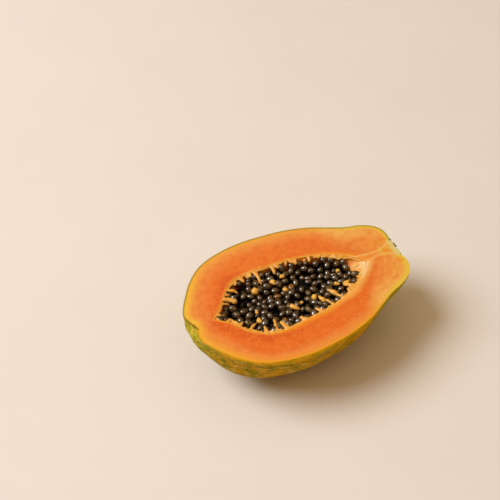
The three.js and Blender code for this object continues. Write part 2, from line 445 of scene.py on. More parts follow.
def edge_wobble(x, side):
    """How far the cavity's soft edge strays from its smooth outline."""
    slow = noise.noise(Vector((x / (7 * MM), side * 9.1, 0.3)))
    fast = noise.noise(Vector((x / (2.4 * MM), side * 5.7, 4.1)))
    return 0.6 * MM * slow + 0.4 * MM * fast


def lobed(place, lobe, depth, side):
    """A place on a body turned round the X axis, given its lobes, depth and bow."""
    turn = math.atan2(place.y, -place.z)
    swell = 1 - lobe * math.cos(LOBES * turn)
    return Vector((place.x, place.y * swell + side + bow(place.x), place.z * swell * depth))


def skin_relief(place, amount):
    """Unevenness of the rind, none at the cut edge."""
    fade = smoothstep(-place.z, 0.0, 5 * MM)
    slow = noise.noise(place / (24 * MM))
    middling = noise.noise(place / (7 * MM) + Vector((3.1, 0, 0)))
    ends = smoothstep(abs(place.x), 74 * MM, 88 * MM)
    ridges = noise.noise(Vector((place.x, place.y * 2.6, place.z * 2.6)) / (9 * MM))
    return fade * amount * (slow + 0.35 * middling + 1.6 * ends * ridges)


def shoulder(place):
    """How far along X the rim by the blossom end's pit is moved there; nothing lower down the rind."""
    y = place.y / MM
    if place.x > -75 * MM or not BLOSSOM_RIM[-1][1] <= y <= BLOSSOM_RIM[0][1]:
        return 0.0
    for (x_high, y_high), (x_low, y_low) in zip(BLOSSOM_RIM, BLOSSOM_RIM[1:]):
        if y >= y_low:
            wanted = (x_low + (x_high - x_low) * (y - y_low) / (y_high - y_low)) * MM
            return (wanted - place.x) * (1 - smoothstep(-place.z, 0.0, SHOULDER_DEPTH))
    return 0.0


def loop_of(outline, side):
    """The closed outline in the cut plane: along the far side and back along the near side."""
    far = [Vector((p.x, p.y + side + bow(p.x), 0.0)) for p in outline]
    near = [Vector((p.x, -p.y + side + bow(p.x), 0.0)) for p in outline[-2:0:-1]]
    return far + near


def dense(loop, parts=6):
    """A closed line of points with more points along each stretch."""
    return [a.lerp(b, i / parts) for a, b in zip(loop, loop[1:] + loop[:1]) for i in range(parts)]


def nearest_on(points, place):
    """The point nearest to a place."""
    return min(points, key=lambda point: (point - place).length).copy()


def nearest_tree(points):
    """A tree that finds the point nearest to a place."""
    tree = KDTree(len(points))
    for i, point in enumerate(points):
        tree.insert(point, i)
    tree.balance()
    return tree


EDGE_LOOP = dense(loop_of(CAVITY_OUTLINE, CAVITY_SIDE))


# ---- Mesh helpers ----
def half_shell(bm, outline, steps):
    """The outline turned half way round the X axis, below the cut plane; gives the new vertices."""
    before = set(bm.verts)
    verts = [bm.verts.new((p.x, p.y, 0.0)) for p in outline]
    edges = [bm.edges.new(pair) for pair in zip(verts, verts[1:])]
    bmesh.ops.spin(bm, geom=verts + edges, axis=(1, 0, 0), cent=(0, 0, 0), angle=-math.pi, steps=steps)
    return [v for v in bm.verts if v not in before]


def new_verts(made):
    """The new vertices in what a bmesh operator gives back."""
    return [part for part in made["geom"] if isinstance(part, bmesh.types.BMVert)]


def next_ring(bm, edges):
    """A copy of a ring of edges, joined to it by faces; gives the copy's vertices and edges."""
    made = bmesh.ops.extrude_edge_only(bm, edges=edges)
    ring = set(new_verts(made))
    lines = [part for part in made["geom"] if isinstance(part, bmesh.types.BMEdge)]
    return ring, [line for line in lines if set(line.verts) <= ring]


def repeat_shape(bm, count):
    """Copies the shape in the bmesh until there are count of it, numbered in the layer "copy"."""
    copy = bm.verts.layers.int.new("copy")
    made = 1
    while made < count:
        extra = min(made, count - made)
        verts = [v for v in bm.verts if v[copy] < extra]
        edges = [e for e in bm.edges if e.verts[0][copy] < extra]
        faces = [f for f in bm.faces if f.verts[0][copy] < extra]
        for v in new_verts(bmesh.ops.duplicate(bm, geom=verts + edges + faces)):
            v[copy] += made
        made += extra
    return copy


def roughen(bm, grain, push):
    """Pushes the points of a bmesh about by a smooth noise, the same in every run."""
    noise.seed_set(ROLL_SEED)
    for v in bm.verts:
        v.co += noise.noise_vector(v.co / grain) * push


def add_object(name, data):
    """Puts a mesh, a lamp or a camera into the scene."""
    made = bpy.data.objects.new(name, data)
    bpy.context.scene.collection.objects.link(made)
    return made


def object_of(bm, name):
    """Puts a bmesh into the scene as an object and frees it."""
    mesh = bpy.data.meshes.new(name)
    bm.to_mesh(mesh)
    bm.free()
    return add_object(name, mesh)


def finish_mesh(bm, name, materials, replaced=()):
    """Makes an object of a bmesh drawn below the cut plane and rides it on the fruit."""
    bmesh.ops.translate(bm, verts=bm.verts, vec=(0, 0, CUT_Z))
    bmesh.ops.recalc_face_normals(bm, faces=bm.faces)
    for face in bm.faces:
        face.smooth = True
    piece = object_of(bm, name)
    for material in materials:
        piece.data.materials.append(material)
    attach(piece, "root")
    if replaced:
        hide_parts(*replaced)
    return piece


def at_mm(x, y, z=0.0):
    """A place given in millimetres."""
    return Vector((x * MM, y * MM, z * MM))


def curve(start, bend, end):
    """Points along a bent line, one for each ring of a strand."""
    return interpolate_bezier(start, start.lerp(bend, 2 / 3), end.lerp(bend, 2 / 3), end, STRAND_RINGS)


# A soft closed strand: its path, half widths at the root and the tip, height as a share of its width, and
# the shades at the root and the tip.
Strand = namedtuple("Strand", "path root tip tall shades")


def strands_mesh(strands):
    """All strands in one mesh, blunt at the tip; the layer "shade" runs along each."""
    bm = bmesh.new()
    spot = bm.verts.layers.int.new("spot")
    ring_number = bm.verts.layers.int.new("ring")
    ring = bmesh.ops.create_circle(bm, segments=STRAND_SIDES, radius=1.0)["verts"]
    for i, v in enumerate(ring):
        v[spot] = i
    first = list(bm.edges)
    edges = first
    for number in range(1, STRAND_RINGS):
        ring, edges = next_ring(bm, edges)
        for v in ring:
            v[ring_number] = number
            v.co.z = number
    bmesh.ops.holes_fill(bm, edges=first + edges, sides=STRAND_SIDES)
    copy = repeat_shape(bm, len(strands))
    shade = bm.verts.layers.float.new("shade")
    last = STRAND_RINGS - 1
    for v in bm.verts:
        strand = strands[v[copy]]
        path = strand.path
        at = v[ring_number]
        along = at / last
        tangent = (path[min(at + 1, last)] - path[max(at - 1, 0)]).normalized()
        level = Vector((0, 0, 1)) if abs(tangent.z) < 0.9 else Vector((1, 0, 0))
        side = tangent.cross(level).normalized()
        rounded = math.sqrt(1 - 0.9 * max(4 * along - 3, 0.0) ** 2)
        uneven = 1 + 0.35 * noise.noise(path[at] / (3 * MM))
        width = (strand.tip + (strand.root - strand.tip) * (1 - along) ** 2) * rounded * uneven
        angle = 2 * math.pi * v[spot] / STRAND_SIDES
        off = side * math.cos(angle) * width + side.cross(tangent) * math.sin(angle) * width * strand.tall
        v.co = path[at] + off
        v[shade] = strand.shades[0] + (strand.shades[1] - strand.shades[0]) * along
    return bm


def fused(bm):
    """One soft skin over all the strands of a bmesh, each point with the "shade" of the nearest strand."""
    shade = bm.verts.layers.float["shade"]
    shades = [v[shade] for v in bm.verts]
    tree = nearest_tree([v.co for v in bm.verts])
    piece = object_of(bm, "fused")
    mesh = piece.data
    remesh = piece.modifiers.new("Remesh", "REMESH")
    remesh.mode = "VOXEL"
    remesh.voxel_size = FUSED_VOXEL
    soften = piece.modifiers.new("Soften", "SMOOTH")
    soften.iterations = FUSED_SMOOTHING
    skin = bmesh.new()
    skin.from_object(piece, bpy.context.evaluated_depsgraph_get())
    bpy.data.objects.remove(piece)
    bpy.data.meshes.remove(mesh)
    shade = skin.verts.layers.float.new("shade")
    for v in skin.verts:
        v[shade] = shades[tree.find(v.co)[1]]
    return skin


def sunk_below(height, top, softness):
    """A height squeezed smoothly under a top."""
    return top - softness * math.log1p(math.exp((top - height) / softness))


# ---- Shader helpers ----
def put(tree, node, key, value):
    """Sets one input of a node, or links it where the value comes from another node."""
    if isinstance(value, bpy.types.NodeSocket):
        tree.links.new(value, node.inputs[key])
    else:
        node.inputs[key].default_value = value


def add_node(tree, kind, inputs=None, **settings):
    """A node with its settings made and its inputs set or linked."""
    node = tree.nodes.new(kind)
    for name, value in settings.items():
        setattr(node, name, value)
    for key, value in (inputs or {}).items():
        put(tree, node, key, value)
    return node


def mix(tree, share, first, second):
    """The colour between two colours."""
    node = add_node(tree, "ShaderNodeMix", {0: share}, data_type="RGBA")
    put(tree, node, 6, first)
    put(tree, node, 7, second)
    return node.outputs[2]


def maths(tree, operation, first, second):
    """One step of arithmetic on two values."""
    return add_node(tree, "ShaderNodeMath", {0: first, 1: second}, operation=operation).outputs[0]


def product(tree, value, *factors):
    """All the values multiplied together."""
    for factor in factors:
        value = maths(tree, "MULTIPLY", value, factor)
    return value


def added(tree, value, *others):
    """All the values added up."""
    for other in others:
        value = maths(tree, "ADD", value, other)
    return value


def vector_maths(tree, operation, first, second, output="Vector"):
    """One step of arithmetic on two vectors."""
    node = add_node(tree, "ShaderNodeVectorMath", {0: first, 1: second}, operation=operation)
    return node.outputs[output]


def ranged(tree, value, low, high, to_low=0.0, to_high=1.0):
    """A value taken smoothly from one range to another."""
    limits = {"Value": value, "From Min": low, "From Max": high, "To Min": to_low, "To Max": to_high}
    return add_node(tree, "ShaderNodeMapRange", limits, interpolation_type="SMOOTHSTEP").outputs[0]


def between(tree, mask, at_none, at_full):
    """A mask taken smoothly to another range."""
    return ranged(tree, mask, 0.0, 1.0, at_none, at_full)


def attribute(tree, name):
    """A number stored on the mesh."""
    return add_node(tree, "ShaderNodeAttribute", attribute_name=name).outputs["Fac"]


def stretched(tree, vector, scale):
    """Coordinates multiplied by a factor for each axis."""
    return add_node(tree, "ShaderNodeMapping", {"Vector": vector, "Scale": scale}).outputs[0]


def object_place(tree, scale=(1.0, 1.0, 1.0)):
    """Object coordinates, multiplied by a factor for each axis."""
    return stretched(tree, add_node(tree, "ShaderNodeTexCoord").outputs["Object"], scale)


def axis_of(tree, vector, axis):
    """One of the three numbers of a vector."""
    return add_node(tree, "ShaderNodeSeparateXYZ", {"Vector": vector}).outputs[axis]


def below_cut(tree, place):
    """How far a place lies under the cut plane."""
    return maths(tree, "SUBTRACT", CUT_Z, axis_of(tree, place, "Z"))


def node_group(name, output, vectors, numbers):
    """An empty group with named inputs and one output; gives the tree, its inputs and its output."""
    tree = bpy.data.node_groups.new(name, "ShaderNodeTree")
    for labels, kind in ((vectors, "Vector"), (numbers, "Float")):
        for label in labels:
            tree.interface.new_socket(label, in_out="INPUT", socket_type=f"NodeSocket{kind}")
    tree.interface.new_socket(output, in_out="OUTPUT", socket_type="NodeSocketFloat")
    return tree, tree.nodes.new("NodeGroupInput").outputs, tree.nodes.new("NodeGroupOutput").inputs[0]


def patches_group():
    """Soft patches: a mask that is 1 where a noise passes from Low to High."""
    tree, given, result = node_group("Patches", "Mask", ["Vector"], ["Scale", "Detail", "Low", "High"])
    shape = {key: given[key] for key in ("Vector", "Scale", "Detail")}
    cloud = add_node(tree, "ShaderNodeTexNoise", {**shape, "Roughness": 0.55})
    tree.links.new(ranged(tree, cloud.outputs["Fac"], given["Low"], given["High"]), result)
    return tree


def speckles_group():
    """Small round spots of uneven size: a mask that is 1 in a spot."""
    tree, given, result = node_group("Speckles", "Mask", ["Vector"], ["Scale", "Size"])
    shape = {key: given[key] for key in ("Vector", "Scale")}
    cells = add_node(tree, "ShaderNodeTexVoronoi", shape)
    cloud = add_node(tree, "ShaderNodeTexNoise", {**shape, "Detail": 3.0})
    size = product(tree, cloud.outputs["Fac"], given["Size"])
    edge = maths(tree, "SUBTRACT", size, cells.outputs["Distance"])
    tree.links.new(ranged(tree, edge, 0.0, 0.12), result)
    return tree


def grain_group():
    """Fine surface relief: broad and fine noise added up, for a bump's height."""
    tree, given, result = node_group("Grain", "Height", ["Vector"], ["Scale", "Fine"])
    broad = add_node(tree, "ShaderNodeTexNoise", {"Vector": given["Vector"], "Scale": given["Scale"]})
    finer = product(tree, given["Scale"], 4.3)
    fine = add_node(tree, "ShaderNodeTexNoise", {"Vector": given["Vector"], "Scale": finer, "Detail": 4.0})
    part = product(tree, fine.outputs["Fac"], given["Fine"])
    tree.links.new(added(tree, broad.outputs["Fac"], part), result)
    return tree


def band_group():
    """A soft band along the stretch between two points: a mask that is 1 in its middle."""
    tree, given, result = node_group("Band", "Mask", ["Vector", "From", "To"], ["Half Width"])
    off = vector_maths(tree, "SUBTRACT", given["Vector"], given["From"])
    stretch = vector_maths(tree, "SUBTRACT", given["To"], given["From"])
    along = vector_maths(tree, "DOT_PRODUCT", off, stretch, "Value")
    whole = vector_maths(tree, "DOT_PRODUCT", stretch, stretch, "Value")
    share = add_node(tree, "ShaderNodeClamp", {"Value": maths(tree, "DIVIDE", along, whole)}).outputs[0]
    foot = add_node(tree, "ShaderNodeVectorMath", {0: stretch, "Scale": share}, operation="SCALE").outputs[0]
    distance = vector_maths(tree, "DISTANCE", off, foot, "Value")
    narrow = product(tree, given["Half Width"], 0.25)
    tree.links.new(ranged(tree, distance, given["Half Width"], narrow), result)
    return tree


GROUP_MAKERS = {
    "Patches": patches_group,
    "Speckles": speckles_group,
    "Grain": grain_group,
    "Band": band_group,
}


def masked(tree, name, **inputs):
    """What a shared group puts out for its inputs; the group is made at its first use."""
    group = bpy.data.node_groups.get(name) or GROUP_MAKERS[name]()
    given = {key.replace("_", " "): value for key, value in inputs.items()}
    return add_node(tree, "ShaderNodeGroup", given, node_tree=group).outputs[0]


def patches(tree, place, scale, low, high, detail=3.0):
    """Soft patches: 1 where a noise rises from low to high."""
    return masked(tree, "Patches", Vector=place, Scale=scale, Detail=detail, Low=low, High=high)


def grain_height(tree, place, scale, fine):
    """The height of a fine surface relief."""
    return masked(tree, "Grain", Vector=place, Scale=scale, Fine=fine)


def band_along(tree, place, points, half_width):
    """A soft band in the cut plane through points given in millimetres."""
    total = 0.0
    spots = [Vector((x * MM, y * MM, CUT_Z)) for x, y in points]
    for start, end in zip(spots, spots[1:]):
        band = masked(tree, "Band", Vector=place, From=start, To=end, Half_Width=half_width)
        total = maths(tree, "MAXIMUM", band, total)
    return total


def strayed(tree, place, scale, reach):
    """The place moved about by a noise, so that marks laid with it have uneven edges."""
    cloud = add_node(tree, "ShaderNodeTexNoise", {"Vector": place, "Scale": scale, "Detail": 3.0})
    off = vector_maths(tree, "SUBTRACT", cloud.outputs["Color"], (0.5, 0.5, 0.5))
    moved = {0: off, 1: (reach, reach, reach), 2: place}
    return add_node(tree, "ShaderNodeVectorMath", moved, operation="MULTIPLY_ADD").outputs[0]


def ramp(tree, value, stops):
    """A colour that changes with a value; stops are (value, colour), rising."""
    reach = stops[-1][0]
    node = add_node(tree, "ShaderNodeValToRGB", {0: maths(tree, "DIVIDE", value, reach)})
    elements = node.color_ramp.elements
    for i, (at, shade) in enumerate(stops):
        stop = elements[i] if i < 2 else elements.new(at / reach)
        stop.position = at / reach
        stop.color = shade
    return node.outputs[0]


def new_material(name, **finish):
    """A material whose shader has the given plain values; gives it, its tree and its shader."""
    material = bpy.data.materials.new(name)
    material.use_nodes = True
    tree = material.node_tree
    shader = tree.nodes["Principled BSDF"]
    for label, value in finish.items():
        shader.inputs[label.replace("_", " ")].default_value = value
    return material, tree, shader


def feed(tree, shader, base, height, depth, strength):
    """Gives the shader its colour and its relief."""
    tree.links.new(base, shader.inputs["Base Color"])
    bump = add_node(tree, "ShaderNodeBump", {"Height": height, "Distance": depth, "Strength": strength})
    tree.links.new(bump.outputs[0], shader.inputs["Normal"])


# ---- Materials ----
def flesh_masks(tree):
    """Where the cut flesh's colours lie: coordinates, distances and masks, by name."""
    place = object_place(tree)
    x = axis_of(tree, place, "X")
    near = ranged(tree, axis_of(tree, place, "Y"), 6 * MM, -6 * MM)
    return SimpleNamespace(
        place=place,
        x=x,
        grain=add_node(tree, "ShaderNodeUVMap", uv_map="grain").outputs[0],
        from_rind=attribute(tree, "from_rind"),
        from_cavity=attribute(tree, "from_cavity"),
        cloud=patches(tree, place, 60.0, 0.35, 0.68, detail=5.0),
        fleck=patches(tree, place, 420.0, 0.35, 0.75),
        near=near,
        far=product(tree, maths(tree, "SUBTRACT", 1.0, near), FAR_SIDE_STRENGTH),
        neck=ranged(tree, x, 35 * MM, 72 * MM),
        stem=ranged(tree, x, 52 * MM, 78 * MM),
        blossom=ranged(tree, x, -50 * MM, -84 * MM),
    )


def wall_colour(tree, colours, masks):
    """Flesh by its depth under the rind: yellow, lighter orange, then orange, and pinker on the far side."""
    widening = added(tree, product(tree, masks.neck, 1.4), product(tree, masks.blossom, 0.7))
    spread = maths(tree, "SUBTRACT", added(tree, 1.1, widening), product(tree, masks.near, 0.35))
    stray = product(tree, maths(tree, "SUBTRACT", masks.cloud, 0.5), 2 * MM)
    depth = maths(tree, "DIVIDE", added(tree, masks.from_rind, stray), spread)
    stops = [
        (0.0, colours.rim),
        (1.6 * MM, colours.rim),
        (3.4 * MM, colours.outer_flesh),
        (5.6 * MM, colours.outer_flesh),
        (9 * MM, colours.blush),
        (14 * MM, colours.flesh),
    ]
    base = ramp(tree, depth, stops)
    within = product(tree, masks.far, ranged(tree, masks.from_rind, 3 * MM, 9 * MM))
    base = mix(tree, within, base, colours.blush)
    under_rind = product(tree, masks.far, ranged(tree, masks.from_rind, 12 * MM, 3 * MM))
    return mix(tree, under_rind, base, colours.pale_flesh)


def with_paler_ends(tree, colours, masks, base):
    """Yellower, streaky flesh in the neck, and yellow under the rind at the blossom end."""
    pale = product(
        tree,
        masks.neck,
        ranged(tree, masks.from_rind, 18 * MM, 4 * MM),
        maths(tree, "MAXIMUM", masks.near, ranged(tree, masks.x, 88 * MM, 74 * MM, 0.5, 1.0)),
        ranged(tree, masks.x, 66 * MM, 46 * MM, 1.0, 1.9),
    )
    base = mix(tree, pale, base, colours.pale_flesh)
    base = mix(tree, product(tree, masks.stem, 0.55), base, colours.outer_flesh)
    base = mix(tree, product(tree, masks.far, masks.neck, 0.4), base, colours.pale_flesh)
    along = stretched(tree, masks.grain, (45.0, 26.0, 1.0))
    fibres = patches(tree, along, 1.0, 0.45, 0.7)
    base = mix(tree, product(tree, fibres, 0.35, masks.neck), base, colours.pale_flesh)
    blossom_rim = product(
        tree,
        masks.blossom,
        ranged(tree, masks.from_rind, 8 * MM, 2 * MM),
        between(tree, masks.near, 0.9, 0.45),
    )
    return mix(tree, blossom_rim, base, colours.blossom_flesh)


def with_redness(tree, colours, masks, base):
    """Redder flesh near the cavity, most towards the blossom end, then fine dapples, flecks and streaks."""
    near_cavity = ranged(tree, masks.from_cavity, 13 * MM, 4 * MM)
    towards_blossom = ranged(tree, masks.x, 40 * MM, -60 * MM, 0.2, 1.0)
    patchy = product(tree, near_cavity, towards_blossom, masks.cloud)
    at_blossom = ranged(tree, masks.x, -25 * MM, -60 * MM, 0.0, 0.6)
    near_side = product(tree, near_cavity, at_blossom, masks.near)
    base = mix(tree, maths(tree, "MAXIMUM", patchy, near_side), base, colours.deep_flesh)
    dapple = patches(tree, masks.place, 170.0, 0.42, 0.68, detail=5.0)
    off_rind = ranged(tree, masks.from_rind, 2 * MM, 9 * MM)
    base = mix(tree, product(tree, dapple, 0.35, off_rind), base, colours.deep_flesh)
    base = mix(tree, product(tree, masks.fleck, 0.42), base, colours.outer_flesh)
    across = stretched(tree, masks.grain, (620.0, 3.5, 1.0))
    streaks = patches(tree, across, 1.0, 0.5, 0.8)
    return mix(tree, product(tree, streaks, 0.28), base, colours.outer_flesh)


def with_cut_rim(tree, colours, masks, base):
    """The hair line where the rind is cut, wider round the neck, and greenish on the far side."""
    shade = mix(tree, masks.neck, colours.edge, colours.neck_edge)
    near_stem = product(tree, masks.near, masks.stem, 1.5)
    width = added(tree, 1.0, product(tree, masks.neck, 3.5), near_stem)
    depth = maths(tree, "DIVIDE", masks.from_rind, width)
    base = mix(tree, ranged(tree, depth, 1.1 * MM, 0.2 * MM), base, shade)
    hair = product(tree, ranged(tree, masks.from_rind, 2.2 * MM, 0.3 * MM), masks.far, 2.4)
    return mix(tree, hair, base, colours.rind_green)


def with_lip(tree, colours, masks, base):
    """The soft lip along the cavity, wider and paler towards the stem, widest on the near side, with a
    painted highlight along its very edge.
    """
    towards_stem = product(tree, ranged(tree, masks.x, 20 * MM, 45 * MM), 2 * MM)
    on_near_side = product(tree, ranged(tree, masks.x, -45 * MM, -15 * MM), 3 * MM, masks.near)
    width = added(tree, on_near_side, added(tree, towards_stem, 2.6 * MM))
    depth = maths(tree, "DIVIDE", masks.from_cavity, width)
    paler = maths(tree, "MAXIMUM", masks.neck, ranged(tree, masks.x, 5 * MM, 40 * MM, 0.0, 0.5))
    shade = mix(tree, product(tree, masks.near, paler), colours.lining, colours.line)
    base = mix(tree, ranged(tree, depth, 1.0, 0.2), base, shade)
    # A broken pale line right at the cavity's edge: a painted highlight on the rounded lip.
    edge = ranged(tree, masks.from_cavity, 1.3 * MM, 0.5 * MM)
    broken = between(tree, masks.fleck, 0.2, 0.7)
    return mix(tree, product(tree, edge, broken), base, colours.line)


def with_marks(tree, colours, masks, base):
    """The lines, spots and tissue between the pocket and the stem, and the fold at the blossom end."""
    uneven = strayed(tree, masks.place, 260.0, 3 * MM)
    marks = [
        (BETWEEN_LINES, 4.5, 0.7, colours.outer_flesh),
        (STEM_PATCH, 5.5, 0.85, colours.stem_gold),
        (NEAR_LINE, 2, 0.5, colours.line),
        (FAR_LINE, 1.3, 0.85, colours.line),
        (STEM_CORE, 3.6, 0.95, colours.core),
        (STEM_ISLAND, 2.6, 0.75, colours.island),
        (STEM_BLUSH, 3.6, 0.55, colours.shoulder),
        (FAR_BLUSH, 3, 0.6, colours.shoulder),
        (POCKET_CREAM, 3.2, 0.6, colours.fold),
    ]
    broken = between(tree, masks.fleck, 1.0, 0.75)
    for points, half_width, strength, shade in marks:
        band = band_along(tree, uneven, points, half_width * MM)
        base = mix(tree, product(tree, band, broken, strength), base, shade)
    return with_crease(tree, colours, base, uneven, masks.x, 0.9 * MM)


def with_crease(tree, colours, base, place, x, half_width):
    """The dark fold of the rind at the blossom end."""
    band = band_along(tree, place, CREASE, half_width)
    fading = ranged(tree, x, -89.6 * MM, -86 * MM, 0.2, 0.9)
    return mix(tree, product(tree, band, fading), base, colours.crease)


def flesh_material(colours):
    """Moist cut flesh: yellow at the rind, orange within, redder towards the cavity, paler at both ends."""
    material, tree, shader = new_material(
        "cut flesh",
        Roughness=0.5,
        Specular_IOR_Level=0.25,
        Subsurface_Weight=0.08,
        Subsurface_Scale=2 * MM,
    )
    masks = flesh_masks(tree)
    base = wall_colour(tree, colours, masks)
    for add_layer in (with_paler_ends, with_redness, with_cut_rim, with_lip, with_marks):
        base = add_layer(tree, colours, masks, base)
    feed(tree, shader, base, grain_height(tree, masks.place, 500.0, 0.4), 0.15 * MM, 0.6)
    return material


def rind_material(colours):
    """Waxy rind: gold and green mottling, freckles, tan streaks of wear that also paint light bounced up from
    the floor, lighter ends and the stem's scar.
    """
    material, tree, shader = new_material("rind", Roughness=0.6, Specular_IOR_Level=0.02)
    place = object_place(tree)
    x = axis_of(tree, place, "X")
    lengthwise = object_place(tree, (0.4, 1.0, 1.0))
    green = patches(tree, lengthwise, 160.0, 0.4, 0.64, detail=7.0)
    greener = ranged(tree, x, 10 * MM, -70 * MM, 0.66, 1.0)
    base = mix(tree, product(tree, green, greener), colours.rind_gold, colours.rind_green)
    tip = product(tree, ranged(tree, x, -76 * MM, -88 * MM), between(tree, green, 0.9, 0.5))
    base = mix(tree, tip, base, colours.rind_tip)
    fine = patches(tree, lengthwise, 260.0, 0.45, 0.62, detail=4.0)
    base = mix(tree, product(tree, fine, 0.4), base, colours.rind_speckle)
    slanted = object_place(tree, (0.5, 1.0, 1.3))
    tan = patches(tree, slanted, 210.0, 0.48, 0.68, detail=4.0)
    # Tan streaks are wear, laid on more strongly towards the blossom end as painted bounce light from the
    # floor.
    wear_and_painted_bounce = ranged(tree, x, 15 * MM, -35 * MM, 0.25, 0.8)
    base = mix(tree, product(tree, tan, wear_and_painted_bounce), base, colours.rind_tan)
    spots = masked(tree, "Speckles", Vector=place, Scale=300.0, Size=0.6)
    base = mix(tree, product(tree, spots, 0.5), base, colours.rind_speckle)
    band = product(
        tree,
        ranged(tree, below_cut(tree, place), 7.5 * MM, 2 * MM),
        ranged(tree, x, -86 * MM, -76 * MM),
        between(tree, fine, 1.0, 0.6),
    )
    base = mix(tree, band, base, colours.rind_band)
    neck = product(tree, ranged(tree, x, 35 * MM, 65 * MM), between(tree, fine, 0.7, 0.35))
    base = mix(tree, neck, base, colours.rind_tip)
    base = with_crease(tree, colours, base, place, x, 0.8 * MM)
    off_axis = vector_maths(tree, "MULTIPLY", place, (0.0, 1.0, 1.0))
    radius = vector_maths(tree, "DISTANCE", off_axis, (0.0, bow(LENGTH / 2), CUT_Z), "Value")
    scar = product(tree, ranged(tree, radius, 9 * MM, 7 * MM), ranged(tree, x, 85 * MM, 87 * MM))
    base = mix(tree, scar, base, colours.cork)
    feed(tree, shader, base, grain_height(tree, place, 700.0, 0.5), 0.2 * MM, 0.5)
    return material


def lining_material(colours):
    """Soft, fibrous wall of the cavity, redder lower down as painted shade, and lighter in the pocket."""
    material, tree, shader = new_material(
        "lining", Roughness=0.45, Subsurface_Weight=0.1, Subsurface_Scale=2 * MM
    )
    place = object_place(tree)
    # Painted shade: the wall turns to the darker, redder flesh colour lower down.
    deep = ranged(tree, below_cut(tree, place), 1.5 * MM, 8 * MM)
    base = mix(tree, deep, colours.lining, colours.deep_flesh)
    pocket = product(tree, ranged(tree, axis_of(tree, place, "X"), 42 * MM, 54 * MM), 0.7)
    base = mix(tree, pocket, base, mix(tree, 0.5, colours.outer_flesh, colours.finger))
    upright = object_place(tree, (1.0, 1.0, 0.25))
    threads = patches(tree, upright, 600.0, 0.48, 0.7)
    base = mix(tree, product(tree, threads, 0.5), base, colours.pulp)
    feed(tree, shader, base, grain_height(tree, place, 600.0, 0.4), 0.4 * MM, 0.7)
    return material


def seed_material(colours):
    """Wet dark seed in its clear skin, ridged along its length; painted shade makes it blacker and less
    glossy where it lies deep in the heap or in the corner at the blossom end, and painted light gives the
    seeds on top their olive sheen.
    """
    material, tree, shader = new_material(
        "seed", Roughness=0.4, Coat_Roughness=0.16, Coat_IOR=2.25, Specular_IOR_Level=0.1
    )
    shader.inputs["Coat Tint"].default_value = (1.0, 0.94, 0.84, 1.0)
    local = add_node(tree, "ShaderNodeAttribute", attribute_name="local").outputs["Vector"]
    along = stretched(tree, local, (1.0, 1.0, 0.35))
    ridges = patches(tree, along, 4.5, 0.35, 0.65)
    # Painted shade: a seed darkens from the top of the heap downwards.
    painted_light_by_depth = ranged(tree, attribute(tree, "sunk"), 1.0 * MM, -2.6 * MM)
    each = attribute(tree, "shade")
    by_ridge = between(tree, ridges, 0.15, 1.0)
    by_seed = between(tree, each, 0.4, 1.0)
    # The olive on the ridges of seeds that lie high is partly painted light.
    base = mix(tree, product(tree, by_ridge, by_seed, painted_light_by_depth), colours.dark, colours.olive)
    ripening = product(tree, ranged(tree, each, 0.955, 0.965), painted_light_by_depth, 0.2)
    base = mix(tree, ripening, base, colours.amber)
    # Coat weight: a wet gloss that differs from seed to seed, cut back as painted shade deep in the heap and
    # in the corner at the blossom end.
    wet_and_painted_shade = product(
        tree,
        ranged(tree, painted_light_by_depth, 0.1, 0.7),
        between(tree, each, 1.0, 0.4),
        ranged(tree, axis_of(tree, object_place(tree), "X"), -60 * MM, -50 * MM, 0.25, 1.0),
    )
    tree.links.new(wet_and_painted_shade, shader.inputs["Coat Weight"])
    feed(tree, shader, base, ridges, 0.45 * MM, 0.8)
    return material


def bed_material(colours):
    """Wet dark pulp under the seeds."""
    material, tree, shader = new_material("seed bed", Roughness=0.5, Specular_IOR_Level=0.3)
    place = object_place(tree)
    cloud = patches(tree, place, 260.0, 0.4, 0.7, detail=4.0)
    base = mix(tree, product(tree, cloud, 0.5), colours.bed, colours.dark)
    feed(tree, shader, base, grain_height(tree, place, 300.0, 0.4), 0.8 * MM, 0.8)
    return material


def pale_seed_material(colours):
    """Seeds that stayed soft and pale, or half ripened to amber."""
    material, tree, shader = new_material(
        "pale seed",
        Roughness=0.35,
        Subsurface_Weight=0.3,
        Subsurface_Scale=1.5 * MM,
        Coat_Weight=0.25,
        Coat_Roughness=0.2,
    )
    place = object_place(tree)
    cloud = patches(tree, place, 330.0, 0.35, 0.65)
    share = product(tree, attribute(tree, "shade"), 0.6, cloud)
    base = mix(tree, share, colours.pale, colours.amber)
    feed(tree, shader, base, grain_height(tree, place, 600.0, 0.4), 0.3 * MM, 0.6)
    return material


def fibre_material(colours):
    """Soft fingers: orange at the root, yellow at the tip, cream where their shade is 2, and redder deep down
    as painted shade.
    """
    material, tree, shader = new_material(
        "fibre",
        Roughness=0.4,
        Subsurface_Weight=0.05,
        Subsurface_Scale=1 * MM,
        Coat_Weight=0.12,
        Coat_Roughness=0.25,
    )
    place = object_place(tree)
    shade = attribute(tree, "shade")
    cloud = patches(tree, place, 260.0, 0.35, 0.65)
    share = product(tree, shade, between(tree, cloud, 0.5, 1.0))
    base = mix(tree, share, colours.finger, colours.pulp)
    veins = patches(tree, place, 420.0, 0.45, 0.7)
    base = mix(tree, product(tree, veins, 0.45), base, colours.island)
    base = mix(tree, ranged(tree, shade, 1.5, 2.0), base, colours.fold)
    # Painted shade: redder and darker lower down, less so in the pocket by the stem.
    deep = ranged(tree, below_cut(tree, place), 1.4 * MM, 5 * MM, 0.0, 0.65)
    outside_pocket = ranged(tree, axis_of(tree, place, "X"), 52 * MM, 44 * MM, 0.15, 1.0)
    base = mix(tree, product(tree, deep, outside_pocket), base, colours.deep_flesh)
    feed(tree, shader, base, grain_height(tree, place, 500.0, 0.3), 0.2 * MM, 0.5)
    return material


